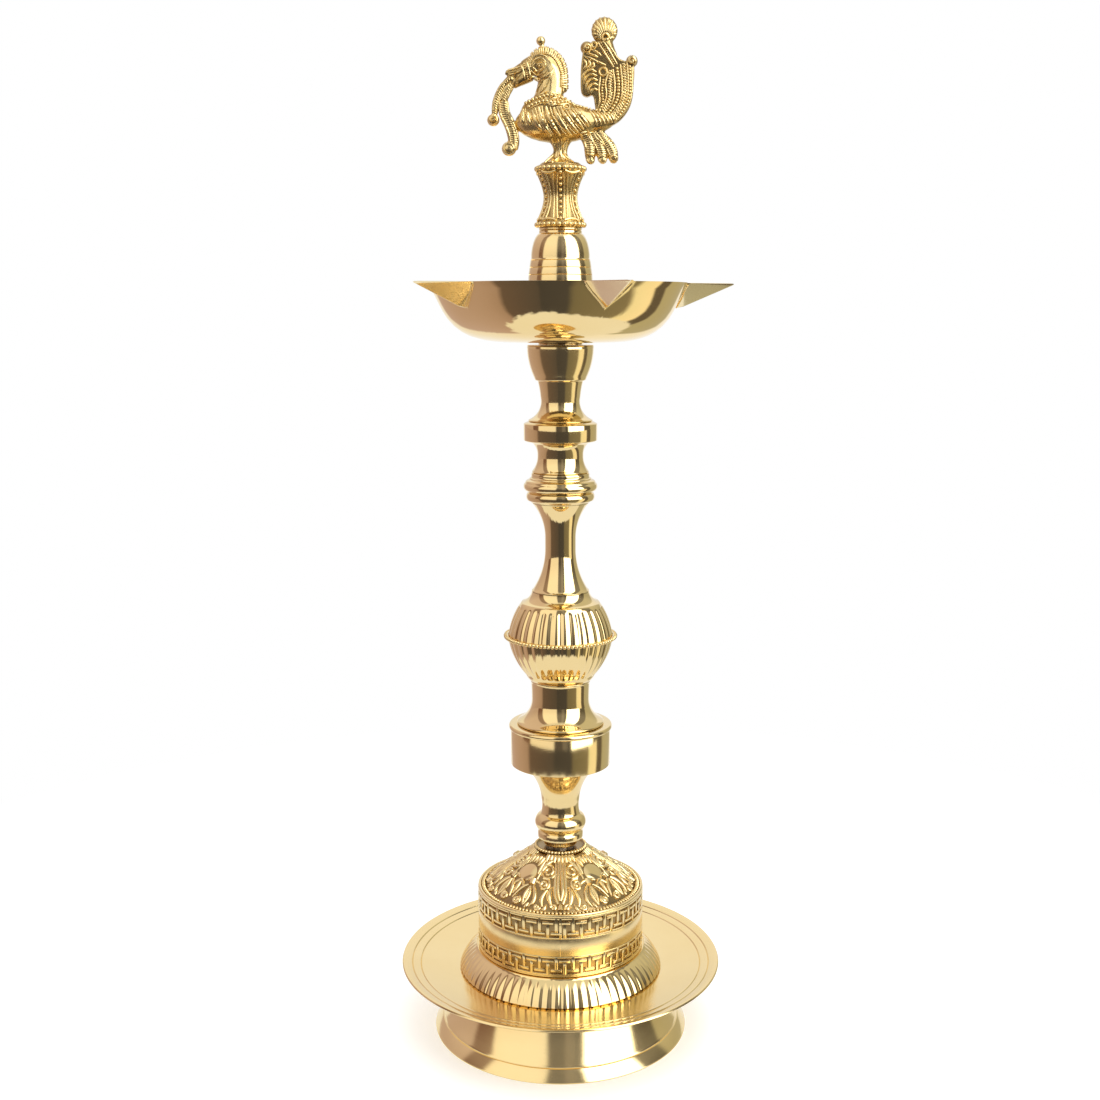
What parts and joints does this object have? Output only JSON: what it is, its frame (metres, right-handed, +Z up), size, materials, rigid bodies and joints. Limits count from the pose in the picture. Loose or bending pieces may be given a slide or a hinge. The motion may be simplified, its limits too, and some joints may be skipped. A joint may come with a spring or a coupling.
{
  "type": "standing oil lamp",
  "caption": "Tall turned brass oil lamp with a drip plate, a fluted ball, a spouted wick bowl and a bird finial, in screwed sections.",
  "frame": {"origin": "on the lamp's axis, in the plane of the foot's resting ring", "axes": "+Z up along the lamp's axis, -Y the front as pictured, -X the side that the bird's beak points to"},
  "size_m": [0.1854, 0.183, 0.5605],
  "materials": {
    "polished_brass": "polished",
    "cast_brass": "cast, brushed on the high spots",
    "steel": "plated"
  },
  "bodies": {
    "base": {"foot_cone": "polished_brass", "drip_plate": "polished_brass", "fluted_collar": "polished_brass", "drum_band": "polished_brass", "drum_bead_ring": "polished_brass", "dome_cover": "polished_brass", "tie_rod": "steel", "tie_rod_washer": "steel", "tie_rod_nut": "steel", "tie_rod_top_nut": "steel"},
    "stem_seat": {"stem_washer": "cast_brass"},
    "lower_stem": {"lower_stem": "polished_brass", "ring_drum": "polished_brass", "ring_neck": "polished_brass", "ball_stud": "steel"},
    "ball_seat": {"ball_washer": "cast_brass"},
    "ball": {"ball_lower_shell": "polished_brass", "ball_upper_shell": "polished_brass", "ball_bead_ring": "polished_brass", "middle_stem": "polished_brass", "middle_stud": "steel"},
    "knop_seat": {"knop_washer": "cast_brass"},
    "upper_stem": {"double_ring": "polished_brass", "flat_ring": "polished_brass", "bowl_cup": "polished_brass", "bowl_stud": "steel"},
    "bowl": {"bowl_washer": "polished_brass", "oil_bowl": "polished_brass"},
    "cap_seat": {"cap_washer": "cast_brass"},
    "cap": {"dome_cap": "polished_brass"},
    "finial_seat": {"finial_washer": "polished_brass"},
    "finial": {"finial_pedestal": "cast_brass", "peacock": "cast_brass"}
  },
  "joints": [
    {"name": "stem_lift", "type": "slide", "parent": "base", "child": "stem_seat", "axis": [0, 0, 1], "range_m": [0, 0.01]},
    {"name": "stem_turn", "type": "hinge", "parent": "stem_seat", "child": "lower_stem", "pos_m": [0, 0, 0.1087], "axis": [0, 0, 1], "range_deg": [0, 1805]},
    {"name": "ball_lift", "type": "slide", "parent": "lower_stem", "child": "ball_seat", "axis": [0, 0, 1], "range_m": [0, 0.01]},
    {"name": "ball_turn", "type": "hinge", "parent": "ball_seat", "child": "ball", "pos_m": [0, 0, 0.2055], "axis": [0, 0, 1], "range_deg": [0, 1805]},
    {"name": "knop_lift", "type": "slide", "parent": "ball", "child": "knop_seat", "axis": [0, 0, 1], "range_m": [0, 0.01]},
    {"name": "knop_turn", "type": "hinge", "parent": "knop_seat", "child": "upper_stem", "pos_m": [0, 0, 0.3057], "axis": [0, 0, 1], "range_deg": [0, 1805]},
    {"name": "cap_lift", "type": "slide", "parent": "upper_stem", "child": "cap_seat", "axis": [0, 0, 1], "range_m": [0, 0.01]},
    {"name": "cap_turn", "type": "hinge", "parent": "cap_seat", "child": "cap", "pos_m": [0, 0, 0.3943], "axis": [0, 0, 1], "range_deg": [0, 1805]},
    {"name": "finial_lift", "type": "slide", "parent": "cap", "child": "finial_seat", "axis": [0, 0, 1], "range_m": [0, 0.01]},
    {"name": "finial_turn", "type": "hinge", "parent": "finial_seat", "child": "finial", "pos_m": [0, 0, 0.4519], "axis": [0, 0, 1], "range_deg": [0, 1805]},
    {"name": "bowl_turn", "type": "hinge", "parent": "upper_stem", "child": "bowl", "pos_m": [0, 0, 0.3925], "axis": [0, 0, 1], "continuous": true}
  ],
  "couplings": [
    {"joint": "stem_turn", "follows": "stem_lift", "rad_per_m": 3141.6},
    {"joint": "ball_turn", "follows": "ball_lift", "rad_per_m": 3141.6},
    {"joint": "knop_turn", "follows": "knop_lift", "rad_per_m": 3141.6},
    {"joint": "cap_turn", "follows": "cap_lift", "rad_per_m": 3141.6},
    {"joint": "finial_turn", "follows": "finial_lift", "rad_per_m": 3141.6}
  ]
}
